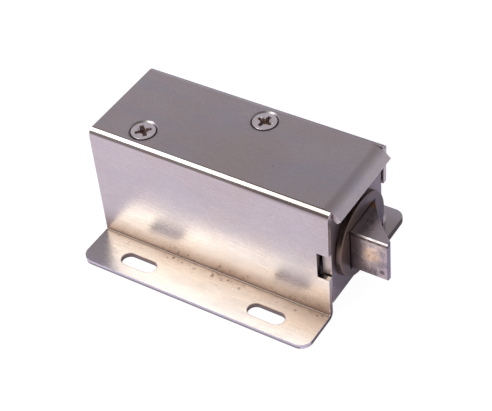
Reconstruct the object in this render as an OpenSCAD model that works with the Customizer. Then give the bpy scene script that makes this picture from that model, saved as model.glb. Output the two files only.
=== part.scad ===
// Electric cabinet lock: a solenoid draws a slanted bolt back into a folded sheet cover.
// The origin is the centre of the four mounting slots, on the flanges' underside. +X is the way the bolt points.

/* [Cover] */
// Length of the side walls
cover_l = 54.2; // [50:0.5:80]
// Width over the side walls
cover_w = 23.3; // [22.5:0.1:40]
// Height above the flanges' underside
cover_h = 28.3; // [27:0.1:45]
// Sheet thickness
sheet_t = 1.1; // [0.8:0.1:1.6]
// Inside radius of every bend in the sheet
bend_r = 0.4; // [0.2:0.1:1]
// Reach of each flange beyond its wall
flange_w = 9.6; // [8:0.05:16]
// Radius of the flanges' corners
flange_corner_r = 2.6; // [0.5:0.1:4]
// How far the walls' front edges lean forward at the top
wall_lean = 0.5; // [0:0.05:1]

/* [Mounting slots] */
// Distance between slots along the cover
slot_spacing = 30.7; // [20:0.1:38]
// Distance from a wall to its slots' centre line
slot_out = 5.45; // [3.5:0.05:8]
// End to end length of a slot
slot_l = 8.3; // [4:0.1:12]
// Width of a slot
slot_w = 3.4; // [2.4:0.1:5]
// How far the slots lie ahead of the cover's middle
slot_shift = 0.25; // [-2:0.05:2]

/* [Lip] */
// Length of the lip, from the sharp corner of its bend
lip_l = 3.05; // [1.5:0.05:6]
// Angle that the lip is bent down
lip_angle = 45; // [20:1:70]
// Inside radius of the lip's bend
lip_bend_r = 2.9; // [0.5:0.1:3.5]
// How far the bend's sharp corner lies ahead of the walls
lip_start = 0.15; // [-0.5:0.05:1]
// Gap between the lip's end and the wall's inner face
lip_inset = 0.55; // [0.1:0.05:2]
// Width of the relief cut beside the lip
relief_w = 0.1; // [0.05:0.05:1.5]
// How far the relief cut reaches behind the lip's bend
relief_l = 0.1; // [0.1:0.1:3]

/* [Wall notches] */
// Length of a notch, back from the walls' front edge
notch_l = 2.4; // [1:0.1:5]
// Top of the near notch above the bolt's axis
near_notch_up = 3.4; // [1:0.1:6]
// Bottom of the near notch below the bolt's axis
near_notch_down = 3; // [1:0.1:6]
// Top of the far notch above the bolt's axis
far_notch_up = 4.3; // [1:0.1:6]
// Bottom of the far notch below the bolt's axis
far_notch_down = 5.1; // [1:0.1:6]

/* [Cover screws] */
// Rear screw's distance from the frame's rear end
rear_screw_in = 5; // [4.5:0.1:8]
// Gap between the front screw's thread and the flux plate
front_screw_gap = 0.3; // [0.1:0.1:5]
// Each screw's distance to the side of the middle
screw_side = 6.65; // [5:0.05:8]
// Thread radius
thread_r = 1.5; // [1:0.1:2]
// Radius of the countersunk head
head_r = 2.55; // [2.3:0.05:3.5]
// Radius of the countersink's mouth at the cover's face
sink_r = 3.05; // [2.7:0.05:4]
// Depth of the mouth, which is wider than the head
sink_mouth = 0.6; // [0.4:0.05:0.8]
// Depth of the head's top below the cover's face
head_deep = 0.1; // [0.05:0.05:0.3]
// Upright rim of the head
head_rim = 0.15; // [0.05:0.05:0.4]
// Length of a screw with its head
screw_l = 3.6; // [3:0.1:5]
// Reach of the cross recess from the head's centre
recess_reach = 1.75; // [1:0.05:2]
// Width of the recess's arms
recess_w = 0.9; // [0.4:0.05:1]
// Depth of the recess
recess_deep = 1.1; // [0.5:0.05:1.5]
// Turn of the rear screw's recess
rear_turn = 48; // [0:1:89]
// Turn of the front screw's recess
front_turn = 79; // [0:1:89]

/* [Solenoid frame] */
// How far the bolt's axis lies above the middle of the room under the frame
axis_up = 1.4; // [0.5:0.1:2.5]
// Gap between the frame and each wall
side_gap = 0.35; // [0.1:0.05:0.7]
// Thickness of the frame
frame_t = 2; // [1.5:0.1:3]
// Length of the frame
frame_l = 49.2; // [46:0.5:52]
// Reach of the frame's legs below the axis
leg_drop = 10.5; // [9:0.1:12]
// Inside radius of the frame's bends
frame_bend_r = 0.5; // [0.2:0.1:1.5]
// Width and height of the lead notch in the rear leg
lead_notch = 4.5; // [2:0.1:6]
// Thickness of the flux plate
flux_t = 1.8; // [1:0.1:2.5]
// Width of the tenon that holds the flux plate
tenon_w = 6; // [3:0.1:9]
// Free length between the flux plate and the front leg
chamber_l = 18.4; // [17.7:0.1:19]

/* [Coil] */
// Least gap between the bobbin's flanges and the frame's width and roof
coil_gap = 0.4; // [0.1:0.1:0.9]
// Thickness of the bobbin's flanges
bobbin_flange_t = 1.2; // [0.8:0.1:2]
// Wall of the bobbin's barrel
bobbin_wall = 1; // [0.6:0.1:1.6]
// How far the bobbin's flanges stand proud of the winding
flange_rise = 0.9; // [0.6:0.1:2.5]
// Thickness of the tape round the winding
wrap_t = 0.2; // [0.1:0.05:0.3]
// Width of the terminal block under the rear flange
block_w = 10; // [8:0.5:14]
// Length of the terminal block
block_l = 2.6; // [1.6:0.1:4]
// Height of the terminal block
block_h = 2.2; // [1.5:0.1:2.5]
// Distance between the terminals
terminal_pitch = 6; // [3:0.1:7]
// Radius of a terminal
terminal_r = 0.4; // [0.25:0.05:0.6]
// How far a terminal stands out of the block
terminal_out = 1.5; // [0.5:0.1:1.8]

/* [Core and plunger] */
// Radius of the plunger
plunger_r = 4.12; // [3:0.02:4.5]
// Radial running clearance of the plunger
run_gap = 0.08; // [0.03:0.01:0.1]
// Wall of the guide tube
tube_wall = 0.4; // [0.2:0.05:0.8]
// Length of the fixed core
core_l = 9; // [6:0.1:11]
// Thickness of the residual washer
residual_t = 0.3; // [0.1:0.05:0.6]
// Thread radius of the core screw
core_thread_r = 2; // [1.5:0.1:2.5]
// Head radius of the core screw
core_head_r = 3.5; // [3:0.1:4.2]
// Head height of the core screw
core_head_h = 2.2; // [1.5:0.1:2.4]
// Depth of the core screw's thread in the core
core_thread_l = 5; // [3:0.1:7]
// Thickness of the washer under the core screw
core_washer_t = 0.8; // [0.5:0.1:1]
// Thickness of the plunger's tongue
tongue_t = 4; // [3:0.1:5]
// Clearance round the tongue in the bolt
tongue_gap = 0.1; // [0.05:0.01:0.2]
// Height of the plunger's tongue
tongue_h = 6.8; // [5:0.1:7.5]
// Length of the plunger's tongue
tongue_l = 4.7; // [4:0.1:4.9]
// Radius of the pin through tongue and bolt
pin_r = 1.25; // [0.8:0.05:1.6]

/* [Bolt] */
// Width of the bolt
bolt_w = 10; // [8:0.1:10.4]
// Height of the bolt
bolt_h = 9.7; // [8:0.1:10.4]
// How far the bolt stands out of the bush
bolt_out = 8; // [5:0.1:8.4]
// Length of the bolt's full section ahead of the bush
full_l = 0.1; // [0:0.1:2]
// Width left at the bolt's tip
tip_w = 1.2; // [0.6:0.1:4]
// Radius of the slightly hollow slanted face
slant_r = 40; // [25:1:200]
// Chamfer of the bolt's long edges
bolt_chamfer = 0.3; // [0.1:0.05:1]
// Radius of the collar that stops the bolt
collar_r = 8.6; // [8.2:0.1:9]
// Thickness of the collar
collar_t = 1.6; // [1:0.1:2]
// Radius of the bolt's round tail
tail_r = 4.9; // [4.5:0.1:5.1]
// Length of the tail behind the collar
tail_l = 5.4; // [5.3:0.1:6]
// Side clearance of the bolt in the bush
guide_gap = 0.2; // [0.05:0.01:0.3]
// Radius of the bush's face
bush_r = 8.9; // [8.4:0.1:10]
// How far the bush's face stands proud of the frame
bush_proud = 1.3; // [0.6:0.1:2]
// Radius of the bush's barrel
barrel_r = 8; // [7.6:0.1:8.3]
// Thickness of the damping washer
damper_t = 1; // [0.5:0.1:1.5]

/* [Spring] */
// Radius of the spring's wire
wire_r = 0.35; // [0.2:0.05:0.4]
// Radius of the spring's coil, at the wire's middle
coil_r = 5.9; // [5.6:0.1:6.4]
// Number of turns
turns = 8; // [5:1:9]
// Thickness of the spring's seat washer
seat_t = 0.4; // [0.2:0.05:0.8]

/* [Hidden] */
$fn = 72;
// Clearance of a fixed piece in its hole
fit_gap = 0.02;
end_gap = 0.05;
eps = 0.01;

rear_x = -cover_l/2-slot_shift;
front_x = rear_x+cover_l;
half_w = cover_w/2;
bend_out = bend_r+sheet_t;
flange_y = half_w+flange_w;
slot_y = half_w+slot_out;
roof_z = cover_h-sheet_t;
lip_half = half_w-sheet_t-lip_inset;
lip_out = lip_bend_r+sheet_t;
lip_tangent = lip_out*tan(lip_angle/2);
lip_x = front_x+lip_start-lip_tangent;

head_z = cover_h-head_deep;
cone_h = head_r-thread_r;
neck_z = head_z-head_rim-cone_h;
mouth_z = cover_h-sink_mouth;
mouth_r = thread_r+mouth_z-neck_z;

frame_w = cover_w-2*(sheet_t+side_gap);
frame_rear = front_x-frame_l;
web_z = roof_z-frame_t;
axis_z = web_z/2+axis_up;
leg_bottom = axis_z-leg_drop;
rear_leg_x = frame_rear+frame_t;
front_leg_x = front_x-frame_t;
flux_front = front_leg_x-chamber_l;
flux_rear = flux_front-flux_t;
screw_x = [frame_rear+rear_screw_in, flux_rear-front_screw_gap-thread_r];

bobbin_r = min(frame_w/2, web_z-axis_z)-coil_gap;
winding_r = bobbin_r-flange_rise;
tube_r = plunger_r+run_gap;
tube_out = tube_r+tube_wall;
bobbin_barrel = tube_out+fit_gap+bobbin_wall;
core_x = rear_leg_x+core_l;
residual_x = core_x+residual_t;
travel = bolt_out;
plunger_x = residual_x+travel+end_gap;

bush_x = front_x+bush_proud;
tip_x = bush_x+bolt_out;
collar_front = front_leg_x-damper_t;
collar_rear = collar_front-collar_t;
tail_x = collar_rear-tail_l;
pin_x = tail_x+tongue_l/2;
pin_l = 2*sqrt(pow(tail_r, 2)-pow(pin_r, 2))-0.3;
damper_in = sqrt(pow(bolt_w, 2)+pow(bolt_h, 2))/2+0.15;

spring_rear = flux_front+seat_t;
spring_l = collar_rear-spring_rear;

// A round bar on the bolt's axis, from x0 to x1
module bar(r, x0, x1) {
    translate([x0, 0, axis_z]) rotate([0, 90, 0]) cylinder(r = r, h = x1-x0);
}

module tube(r_out, r_in, x0, x1) {
    difference() {
        bar(r_out, x0, x1);
        bar(r_in, x0-1, x1+1);
    }
}

// A flat outline in Y and Z, drawn out along X
module along_x(x0, x1) {
    translate([x0, 0, 0]) rotate([90, 0, 90]) linear_extrude(x1-x0) children();
}

// A flat outline in X and Z, drawn out to both sides along Y
module across_y(w) {
    rotate([90, 0, 0]) linear_extrude(w, center = true) children();
}

// A sheet's quarter bend round the origin, towards the side (sx, sy)
module quarter(r_in, t, sx, sy) {
    r = r_in+t;
    intersection() {
        difference() {
            circle(r);
            circle(r_in);
        }
        translate([sx > 0 ? 0 : -r, sy > 0 ? 0 : -r]) square(r);
    }
}

module hat_half() {
    translate([0, roof_z]) square([half_w-bend_out, sheet_t]);
    translate([half_w-bend_out, cover_h-bend_out]) quarter(bend_r, sheet_t, 1, 1);
    translate([half_w-sheet_t, bend_out]) square([sheet_t, cover_h-2*bend_out]);
    translate([half_w+bend_r, bend_out]) quarter(bend_r, sheet_t, -1, -1);
    translate([half_w+bend_r, 0]) square([flange_w-bend_r, sheet_t]);
}

// The lip seen from the side: a gentle bend, then straight down to its tip
module lip_profile() {
    far = 3*lip_out;
    translate([lip_x, cover_h-lip_out]) {
        intersection() {
            difference() {
                circle(lip_out);
                circle(lip_bend_r);
            }
            polygon([[0, 0], [0, far], [far*sin(lip_angle), far*cos(lip_angle)]]);
        }
        rotate(-lip_angle) translate([0, lip_bend_r]) square([lip_l-lip_tangent, sheet_t]);
    }
}

// What the leaning front edges leave off, seen from the side
module front_waste() {
    polygon([[front_x, -1], [front_x, 2*bend_out], [front_x+wall_lean, cover_h], [front_x+wall_lean, cover_h+1],
             [front_x+wall_lean+1, cover_h+1], [front_x+wall_lean+1, -1]]);
}

module slot_cut(x, y) {
    run = slot_l-slot_w;
    translate([x, y, -1]) {
        translate([-run/2, -slot_w/2, 0]) cube([run, slot_w, sheet_t+2]);
        translate([-run/2, 0, 0]) cylinder(r = slot_w/2, h = sheet_t+2);
        translate([run/2, 0, 0]) cylinder(r = slot_w/2, h = sheet_t+2);
    }
}

// The waste outside a rounded corner of a flange
module corner_cut(x, y, sx, sy) {
    r = flange_corner_r;
    translate([x-sx*r, y-sy*r, -1]) difference() {
        translate([sx > 0 ? 0 : -r-1, sy > 0 ? 0 : -r-1, 0]) cube([r+1, r+1, sheet_t+2]);
        translate([0, 0, -1]) cylinder(r = r, h = sheet_t+4);
    }
}

// The screw's way through the roof and down to the thread in the frame
module sink_cut(x, y) {
    neck = thread_r+fit_gap;
    translate([x, y, 0]) rotate_extrude()
        polygon([[0, neck_z-5], [neck, neck_z-5], [neck, neck_z], [mouth_r+fit_gap, mouth_z],
                 [sink_r, cover_h], [sink_r, cover_h+1], [0, cover_h+1]]);
}

module notch_cut(side, up, down) {
    y0 = side > 0 ? half_w-sheet_t-1 : -half_w-1;
    translate([front_x-notch_l, y0, axis_z-down]) cube([notch_l+wall_lean+1, sheet_t+2, up+down]);
}

module relief_cut(side) {
    y0 = side > 0 ? lip_half : -lip_half-relief_w;
    translate([lip_x-relief_l, y0, roof_z-bend_out]) cube([front_x-lip_x+relief_l+wall_lean+1, relief_w, 3*bend_out]);
}

module housing_cover() {
    color([0.72, 0.7, 0.7]) {
        difference() {
            along_x(rear_x, front_x+wall_lean) {
                hat_half();
                mirror([1, 0]) hat_half();
            }
            across_y(2*flange_y+2) front_waste();
            for (x = [-slot_spacing/2, slot_spacing/2], y = [-slot_y, slot_y]) slot_cut(x, y);
            for (s = [-1, 1]) {
                corner_cut(rear_x, s*flange_y, -1, s);
                corner_cut(front_x, s*flange_y, 1, s);
                relief_cut(s);
            }
            sink_cut(screw_x[0], -screw_side);
            sink_cut(screw_x[1], screw_side);
            notch_cut(-1, near_notch_up, near_notch_down);
            notch_cut(1, far_notch_up, far_notch_down);
            translate([lip_x, -lip_half-eps, roof_z-1]) cube([front_x-lip_x+wall_lean+1, 2*lip_half+2*eps, sheet_t+2]);
        }
        across_y(2*lip_half) lip_profile();
    }
}

// The cross recess of a screw head that faces up at the origin
module cross_recess(reach, w, deep) {
    for (a = [0, 90]) rotate([0, 0, a]) translate([-reach, -w/2, -deep]) cube([2*reach, w, deep+1]);
    translate([0, 0, -deep]) cylinder(r = w, h = deep+1);
}

module sunk_screw(x, y, turn) {
    translate([x, y, head_z]) difference() {
        union() {
            translate([0, 0, -head_rim]) cylinder(r = head_r, h = head_rim);
            translate([0, 0, -head_rim-cone_h]) cylinder(r1 = thread_r, r2 = head_r, h = cone_h);
            translate([0, 0, -screw_l]) cylinder(r = thread_r, h = screw_l-head_rim-cone_h+eps);
        }
        rotate([0, 0, turn]) cross_recess(recess_reach, recess_w, recess_deep);
    }
}

module rear_cover_screw() {
    color([0.6, 0.56, 0.52]) sunk_screw(screw_x[0], -screw_side, rear_turn);
}

module front_cover_screw() {
    color([0.6, 0.56, 0.52]) sunk_screw(screw_x[1], screw_side, front_turn);
}

module frame_profile() {
    r = frame_bend_r+frame_t;
    translate([frame_rear, leg_bottom]) square([frame_t, roof_z-r-leg_bottom]);
    translate([frame_rear+r, roof_z-r]) quarter(frame_bend_r, frame_t, -1, 1);
    translate([frame_rear+r, web_z]) square([frame_l-2*r, frame_t]);
    translate([front_x-r, roof_z-r]) quarter(frame_bend_r, frame_t, 1, 1);
    translate([front_leg_x, leg_bottom]) square([frame_t, roof_z-r-leg_bottom]);
}

module yoke_frame() {
    color([0.55, 0.54, 0.55]) difference() {
        across_y(frame_w) frame_profile();
        bar(barrel_r+fit_gap, front_leg_x-1, front_x+1);
        bar(core_thread_r+fit_gap, frame_rear-1, rear_leg_x+1);
        sink_cut(screw_x[0], -screw_side);
        sink_cut(screw_x[1], screw_side);
        translate([flux_rear-fit_gap, -tenon_w/2-fit_gap, web_z-1])
            cube([flux_t+2*fit_gap, tenon_w+2*fit_gap, frame_t+2]);
        translate([frame_rear-1, -lead_notch/2, leg_bottom-1]) cube([frame_t+2, lead_notch, lead_notch+1]);
    }
}

module flux_plate() {
    color([0.6, 0.6, 0.6]) difference() {
        union() {
            translate([flux_rear, -frame_w/2, leg_bottom]) cube([flux_t, frame_w, web_z-leg_bottom]);
            translate([flux_rear, -tenon_w/2, web_z-eps]) cube([flux_t, tenon_w, frame_t]);
        }
        bar(tube_out+fit_gap, flux_rear-1, flux_front+1);
    }
}

module guide_bush() {
    color([0.45, 0.42, 0.42]) difference() {
        union() {
            bar(barrel_r, front_leg_x, front_x+eps);
            bar(bush_r, front_x, bush_x);
        }
        translate([front_leg_x-1, -bolt_w/2-guide_gap, axis_z-bolt_h/2-guide_gap])
            cube([frame_t+bush_proud+2, bolt_w+2*guide_gap, bolt_h+2*guide_gap]);
    }
}

block_z = axis_z-winding_r-wrap_t-0.1-block_h;

module coil_bobbin() {
    color([0.12, 0.12, 0.13]) difference() {
        union() {
            bar(bobbin_barrel, rear_leg_x, flux_rear);
            bar(bobbin_r, rear_leg_x, rear_leg_x+bobbin_flange_t);
            bar(bobbin_r, flux_rear-bobbin_flange_t, flux_rear);
            translate([rear_leg_x, -block_w/2, block_z]) cube([block_l, block_w, block_h]);
            translate([rear_leg_x, -block_w/2, block_z]) cube([bobbin_flange_t, block_w, block_h+2]);
        }
        bar(tube_out+fit_gap, rear_leg_x-1, flux_rear+1);
        for (s = [-1, 1]) terminal(s, fit_gap);
    }
}

module coil_winding() {
    color([0.62, 0.3, 0.14])
        tube(winding_r, bobbin_barrel, rear_leg_x+bobbin_flange_t, flux_rear-bobbin_flange_t);
}

module coil_wrap() {
    color([0.85, 0.72, 0.2])
        tube(winding_r+wrap_t, winding_r, rear_leg_x+bobbin_flange_t, flux_rear-bobbin_flange_t);
}

module terminal(s, gap) {
    translate([rear_leg_x+block_l/2, s*terminal_pitch/2, block_z-terminal_out])
        cylinder(r = terminal_r+gap, h = terminal_out+block_h-0.4+gap);
}

module near_terminal() {
    color([0.8, 0.7, 0.4]) terminal(-1, 0);
}

module far_terminal() {
    color([0.8, 0.7, 0.4]) terminal(1, 0);
}

module guide_tube() {
    color([0.78, 0.64, 0.32]) tube(tube_out, tube_r, rear_leg_x, flux_front);
}

module pole_core() {
    color([0.62, 0.62, 0.63]) difference() {
        bar(tube_r-fit_gap, rear_leg_x, core_x);
        bar(core_thread_r+fit_gap, rear_leg_x-1, rear_leg_x+core_thread_l+0.4);
    }
}

module core_screw() {
    head_x = frame_rear-core_washer_t;
    color([0.7, 0.7, 0.68]) difference() {
        union() {
            bar(core_head_r, head_x-core_head_h, head_x);
            bar(core_thread_r, head_x-eps, rear_leg_x+core_thread_l);
        }
        translate([head_x-core_head_h, 0, axis_z]) rotate([0, -90, 0])
            cross_recess(core_head_r*0.6, 0.8, core_head_h*0.6);
    }
}

module core_washer() {
    color([0.66, 0.66, 0.66])
        tube(core_head_r+0.5, core_thread_r+0.1, frame_rear-core_washer_t, frame_rear);
}

module residual_washer() {
    color([0.9, 0.9, 0.86]) tube(tube_r-0.2, core_thread_r, core_x, residual_x);
}

module plunger() {
    color([0.66, 0.66, 0.68]) difference() {
        union() {
            bar(plunger_r, plunger_x, tail_x);
            translate([tail_x-eps, -tongue_t/2, axis_z-tongue_h/2]) cube([tongue_l, tongue_t, tongue_h]);
        }
        pin_bar(pin_r+fit_gap, tongue_t+2);
    }
}

module pin_bar(r, l) {
    translate([pin_x, 0, axis_z]) rotate([90, 0, 0]) cylinder(r = r, h = l, center = true);
}

// The bolt seen from above: flat on the near side, hollow slant on the far side
module bolt_plan() {
    run = bolt_out-full_l;
    rise = bolt_w-tip_w;
    chord = sqrt(pow(run, 2)+pow(rise, 2));
    deep = sqrt(pow(slant_r, 2)-pow(chord/2, 2));
    difference() {
        translate([collar_rear, -bolt_w/2]) square([tip_x-collar_rear, bolt_w]);
        polygon([[tip_x-run, bolt_w/2], [tip_x, -bolt_w/2+tip_w], [tip_x+1, -bolt_w/2+tip_w],
                 [tip_x+1, bolt_w/2+1], [tip_x-run, bolt_w/2+1]]);
        intersection() {
            translate([tip_x-run/2+deep*rise/chord, -bolt_w/2+tip_w+rise/2+deep*run/chord]) circle(slant_r);
            translate([tip_x-run, -bolt_w/2+tip_w]) square([run, rise+1]);
        }
    }
}

module bolt_section() {
    w = bolt_w/2;
    h = bolt_h/2;
    c = bolt_chamfer;
    translate([0, axis_z])
        polygon([[-w, -h+c], [-w+c, -h], [w-c, -h], [w, -h+c], [w, h-c], [w-c, h], [-w+c, h], [-w, h-c]]);
}

module latch_bolt() {
    color([0.68, 0.62, 0.56]) difference() {
        union() {
            intersection() {
                translate([0, 0, axis_z-bolt_h/2]) linear_extrude(bolt_h) bolt_plan();
                along_x(collar_rear, tip_x) bolt_section();
            }
            bar(collar_r, collar_rear, collar_front);
            bar(tail_r, tail_x, collar_rear+eps);
        }
        translate([tail_x-1, -tongue_t/2-tongue_gap, axis_z-tail_r-1])
            cube([tongue_l+tongue_gap+1, tongue_t+2*tongue_gap, 2*tail_r+2]);
        pin_bar(pin_r+fit_gap, 2*tail_r+2);
    }
}

module bolt_pin() {
    color([0.75, 0.75, 0.74]) pin_bar(pin_r, pin_l);
}

// Place along the spring after u turns: closed end turns, open ones between
function spring_at(u) =
    u < 1 ? wire_r*(1+2*u) :
    u > turns-1 ? spring_l-wire_r*(1+2*(turns-u)) :
    3*wire_r+(u-1)/(turns-2)*(spring_l-6*wire_r);

module return_spring() {
    steps = 18;
    sides = 8;
    rings = turns*steps+1;
    points = [for (i = [0:rings-1], k = [0:sides-1])
        let (u = i/steps, a = 360*u, r = coil_r+wire_r*cos(360*k/sides))
        [spring_rear+spring_at(u)+wire_r*sin(360*k/sides)*0.98, r*cos(a), axis_z+r*sin(a)]];
    sleeve = [for (i = [0:rings-2], k = [0:sides-1])
        let (n = (k+1)%sides)
        [i*sides+k, i*sides+n, (i+1)*sides+n, (i+1)*sides+k]];
    first = [[for (k = [sides-1:-1:0]) k]];
    last = [[for (k = [0:sides-1]) (rings-1)*sides+k]];
    color([0.7, 0.7, 0.72]) polyhedron(points, concat(first, sleeve, last), convexity = 10);
}

module spring_washer() {
    color([0.72, 0.72, 0.7]) tube(coil_r+1.2, tube_out-0.1, flux_front, spring_rear);
}

module damping_washer() {
    color([0.08, 0.08, 0.08]) tube(collar_r, damper_in, collar_front, front_leg_x);
}

housing_cover();
rear_cover_screw();
front_cover_screw();
yoke_frame();
flux_plate();
guide_bush();
coil_bobbin();
coil_winding();
coil_wrap();
near_terminal();
far_terminal();
guide_tube();
pole_core();
core_screw();
core_washer();
residual_washer();
plunger();
latch_bolt();
bolt_pin();
return_spring();
spring_washer();
damping_washer();
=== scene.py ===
import math

import bmesh
import bpy
from mathutils import Matrix, Vector


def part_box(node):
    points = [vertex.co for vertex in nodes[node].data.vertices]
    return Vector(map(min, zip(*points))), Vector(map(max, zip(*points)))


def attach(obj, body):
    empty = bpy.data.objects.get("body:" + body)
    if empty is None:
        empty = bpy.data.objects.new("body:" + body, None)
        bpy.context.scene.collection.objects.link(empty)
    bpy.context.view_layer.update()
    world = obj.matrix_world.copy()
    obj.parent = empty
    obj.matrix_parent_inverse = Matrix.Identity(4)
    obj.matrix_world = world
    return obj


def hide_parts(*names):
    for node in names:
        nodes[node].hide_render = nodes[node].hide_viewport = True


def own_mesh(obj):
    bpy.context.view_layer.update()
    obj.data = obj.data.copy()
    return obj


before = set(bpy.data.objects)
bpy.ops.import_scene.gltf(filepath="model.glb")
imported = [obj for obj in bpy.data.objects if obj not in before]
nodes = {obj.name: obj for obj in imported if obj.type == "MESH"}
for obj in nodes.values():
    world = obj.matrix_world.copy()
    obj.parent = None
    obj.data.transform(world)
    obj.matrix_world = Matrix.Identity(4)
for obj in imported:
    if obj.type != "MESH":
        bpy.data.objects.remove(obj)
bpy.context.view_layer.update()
mm = 0.001

# Heights and places that several pieces share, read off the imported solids
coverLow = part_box("housing_cover")[0]
bushLow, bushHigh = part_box("guide_bush")
plungerLow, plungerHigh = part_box("plunger")
axisHeight = (plungerLow.z + plungerHigh.z) / 2
boltAxis = Vector((0, 0, axisHeight))
bushRadius = (bushHigh.y - bushLow.y) / 2 / mm  # in mm, as the materials measure


# Small helpers for the shader trees. A value is a socket to link or a constant to set
def feed(tree, socket, value):
    if isinstance(value, bpy.types.NodeSocket):
        tree.links.new(value, socket)
    else:
        socket.default_value = value


def addNode(tree, kind, values=None, **settings):
    made = tree.nodes.new(kind)
    for name, value in settings.items():
        setattr(made, name, value)
    for name, value in (values or {}).items():
        feed(tree, made.inputs[name], value)
    return made


def newGroup(name, inputs, outputs):
    tree = bpy.data.node_groups.new(name, "ShaderNodeTree")
    for label, kind, value in inputs:
        socket = tree.interface.new_socket(name=label, in_out="INPUT", socket_type=kind)
        if value is not None:
            socket.default_value = value
    for label, kind in outputs:
        tree.interface.new_socket(name=label, in_out="OUTPUT", socket_type=kind)
    return tree, tree.nodes.new("NodeGroupInput").outputs, tree.nodes.new("NodeGroupOutput").inputs


def useGroup(tree, group, values):
    return addNode(tree, "ShaderNodeGroup", values, node_tree=group).outputs


def calc(tree, operation, first, second=0.0):
    return addNode(tree, "ShaderNodeMath", {0: first, 1: second}, operation=operation).outputs[0]


def times(tree, first, *others):
    for other in others:
        first = calc(tree, "MULTIPLY", first, other)
    return first


def above(tree, value, limit):
    return calc(tree, "GREATER_THAN", value, limit)


def below(tree, value, limit):
    return calc(tree, "LESS_THAN", value, limit)


def unsigned(tree, value):
    return calc(tree, "ABSOLUTE", value)


def vectorCalc(tree, operation, first, second=(0, 0, 0)):
    made = addNode(tree, "ShaderNodeVectorMath", {0: first, 1: second}, operation=operation)
    return made.outputs["Value" if operation in ("LENGTH", "DISTANCE", "DOT_PRODUCT") else "Vector"]


def splitUp(tree, vector):
    return tuple(addNode(tree, "ShaderNodeSeparateXYZ", {"Vector": vector}).outputs)


# A ramp: newLow at low, newHigh at high, and level beyond them
def spread(tree, value, low, high, newLow=0.0, newHigh=1.0):
    found = addNode(tree, "ShaderNodeMapRange", {"Value": value, "From Min": low, "From Max": high,
                                                 "To Min": newLow, "To Max": newHigh})
    return found.outputs["Result"]


def blendTone(tree, share, under, over):
    made = addNode(tree, "ShaderNodeMix", {0: share, 6: under, 7: over}, data_type="RGBA")
    return made.outputs[2]


# Tones laid over a base one after another, each through its own mask
def layered(tree, base, coats):
    for mask, over in coats:
        base = blendTone(tree, mask, base, over)
    return base


def tone(red, green, blue):
    return (red, green, blue, 1.0)


# Ramps for the groups' masks: where each begins and ends, and its share there
groupRamps = {"edge": (0.998, 0.9), "brokenEdge": (0.35, 0.6), "upWall": (0.1, 0.7, 0.1, 1.0),
              "halo": (3.7, 2.9, 0.0, 0.12)}


# Drawn-out noise: brushing, rolling marks, drawn wire
def makeGrain():
    tree, given, out = newGroup("drawnGrain", [("Vector", "NodeSocketVector", None),
                                               ("Stretch", "NodeSocketVector", (1, 1, 1)),
                                               ("Fineness", "NodeSocketFloat", 1.0)],
                                [("Value", "NodeSocketFloat")])
    drawn = addNode(tree, "ShaderNodeMapping", {"Vector": given["Vector"], "Scale": given["Stretch"]})
    noise = addNode(tree, "ShaderNodeTexNoise", {"Vector": drawn.outputs[0], "Scale": given["Fineness"],
                                                 "Detail": 5.0, "Roughness": 0.62})
    tree.links.new(noise.outputs[0], out["Value"])
    return tree


# Scattered small spots, each cell holding one at most. Spots differ in size, and fade from the heart outwards
def makeSpecks():
    tree, given, out = newGroup("scatteredSpecks", [("Vector", "NodeSocketVector", None),
                                                    ("Spacing", "NodeSocketFloat", 2.0),
                                                    ("Size", "NodeSocketFloat", 0.1),
                                                    ("Share", "NodeSocketFloat", 0.5)],
                                [("Mask", "NodeSocketFloat")])
    smallest, heart = 0.5, 0.45
    perMm = calc(tree, "DIVIDE", 1.0, given["Spacing"])
    cells = addNode(tree, "ShaderNodeTexVoronoi", {"Vector": given["Vector"], "Scale": perMm,
                                                   "Randomness": 1.0})
    picked = addNode(tree, "ShaderNodeSeparateColor", {"Color": cells.outputs["Color"]})
    kept = below(tree, picked.outputs[0], given["Share"])
    reach = times(tree, given["Size"], calc(tree, "ADD", smallest, picked.outputs[1]))
    spot = spread(tree, cells.outputs["Distance"], reach, times(tree, reach, heart))
    tree.links.new(times(tree, spot, kept), out["Mask"])
    return tree


# Soft patches for tarnish, handling marks and uneven plating
def makePatches():
    tree, given, out = newGroup("softPatches", [("Vector", "NodeSocketVector", None),
                                                ("Width", "NodeSocketFloat", 10.0),
                                                ("Edge", "NodeSocketFloat", 0.15)],
                                [("Mask", "NodeSocketFloat")])
    perMm = calc(tree, "DIVIDE", 1.0, given["Width"])
    noise = addNode(tree, "ShaderNodeTexNoise", {"Vector": given["Vector"], "Scale": perMm, "Detail": 3.0,
                                                 "Roughness": 0.5, "Distortion": 0.4})
    low = calc(tree, "SUBTRACT", 0.5, given["Edge"])
    high = calc(tree, "ADD", 0.5, given["Edge"])
    tree.links.new(spread(tree, noise.outputs[0], low, high), out["Mask"])
    return tree


# Turning marks round the bolt's axis. The vector is in mm from that axis
def makeTurning():
    tree, given, out = newGroup("turningMarks", [("Vector", "NodeSocketVector", None),
                                                 ("Pitch", "NodeSocketFloat", 0.2)],
                                [("Radius", "NodeSocketFloat"), ("Height", "NodeSocketFloat")])
    ringsPerMm, waveHeight = 4.0, 0.3
    radius = vectorCalc(tree, "LENGTH", vectorCalc(tree, "MULTIPLY", given["Vector"], (0, 1, 1)))
    wave = calc(tree, "SINE", times(tree, calc(tree, "DIVIDE", radius, given["Pitch"]), math.tau))
    rings = addNode(tree, "ShaderNodeTexNoise", {"W": times(tree, radius, ringsPerMm), "Scale": 1.0,
                                                 "Detail": 3.0}, noise_dimensions="1D")
    tree.links.new(radius, out["Radius"])
    tree.links.new(calc(tree, "ADD", times(tree, wave, waveHeight), rings.outputs[0]), out["Height"])
    return tree


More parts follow.
